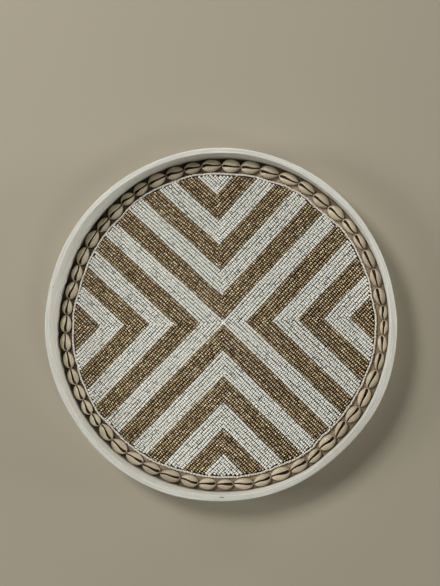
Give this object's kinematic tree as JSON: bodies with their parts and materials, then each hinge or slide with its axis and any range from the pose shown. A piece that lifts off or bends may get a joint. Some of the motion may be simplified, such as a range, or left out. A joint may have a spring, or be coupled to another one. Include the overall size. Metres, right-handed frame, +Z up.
{
  "type": "beaded decorative tray",
  "caption": "Round shallow wooden tray with a thin upright rim, a ring of cowrie shells against the wall and a bed of seed beads in mitred chevron stripes.",
  "frame": {"origin": "centre of the underside, where the tray rests", "axes": "+Z up out of the tray's open side, the tray lying flat; +Y towards the top of the picture, +X towards its right, both along the mirror lines of the chevrons"},
  "size_m": [0.35, 0.35, 0.036],
  "materials": {
    "painted_wood": "matte",
    "plain_wood": "matte",
    "brown_cloth": "matte",
    "cowrie_shell": "satin",
    "white_beads": "gloss",
    "bronze_beads": "gloss"
  },
  "bodies": {
    "root": {"rim_hoop": "painted_wood", "base_board": "plain_wood", "backing_panel": "brown_cloth", "white_beadwork": "white_beads", "bronze_beadwork": "bronze_beads", "cowrie_shell_01": "cowrie_shell", "cowrie_shell_02": "cowrie_shell", "cowrie_shell_03": "cowrie_shell", "cowrie_shell_04": "cowrie_shell", "cowrie_shell_05": "cowrie_shell", "cowrie_shell_06": "cowrie_shell", "cowrie_shell_07": "cowrie_shell", "cowrie_shell_08": "cowrie_shell", "cowrie_shell_09": "cowrie_shell", "cowrie_shell_10": "cowrie_shell", "cowrie_shell_11": "cowrie_shell", "cowrie_shell_12": "cowrie_shell", "cowrie_shell_13": "cowrie_shell", "cowrie_shell_14": "cowrie_shell", "cowrie_shell_15": "cowrie_shell", "cowrie_shell_16": "cowrie_shell", "cowrie_shell_17": "cowrie_shell", "cowrie_shell_18": "cowrie_shell", "cowrie_shell_19": "cowrie_shell", "cowrie_shell_20": "cowrie_shell", "cowrie_shell_21": "cowrie_shell", "cowrie_shell_22": "cowrie_shell", "cowrie_shell_23": "cowrie_shell", "cowrie_shell_24": "cowrie_shell", "cowrie_shell_25": "cowrie_shell", "cowrie_shell_26": "cowrie_shell", "cowrie_shell_27": "cowrie_shell", "cowrie_shell_28": "cowrie_shell", "cowrie_shell_29": "cowrie_shell", "cowrie_shell_30": "cowrie_shell", "cowrie_shell_31": "cowrie_shell", "cowrie_shell_32": "cowrie_shell", "cowrie_shell_33": "cowrie_shell", "cowrie_shell_34": "cowrie_shell", "cowrie_shell_35": "cowrie_shell", "cowrie_shell_36": "cowrie_shell", "cowrie_shell_37": "cowrie_shell", "cowrie_shell_38": "cowrie_shell", "cowrie_shell_39": "cowrie_shell", "cowrie_shell_40": "cowrie_shell", "cowrie_shell_41": "cowrie_shell", "cowrie_shell_42": "cowrie_shell", "cowrie_shell_43": "cowrie_shell", "cowrie_shell_44": "cowrie_shell", "cowrie_shell_45": "cowrie_shell", "cowrie_shell_46": "cowrie_shell", "cowrie_shell_47": "cowrie_shell", "cowrie_shell_48": "cowrie_shell", "cowrie_shell_49": "cowrie_shell", "cowrie_shell_50": "cowrie_shell", "cowrie_shell_51": "cowrie_shell", "cowrie_shell_52": "cowrie_shell", "cowrie_shell_53": "cowrie_shell", "cowrie_shell_54": "cowrie_shell"}
  },
  "joints": []
}
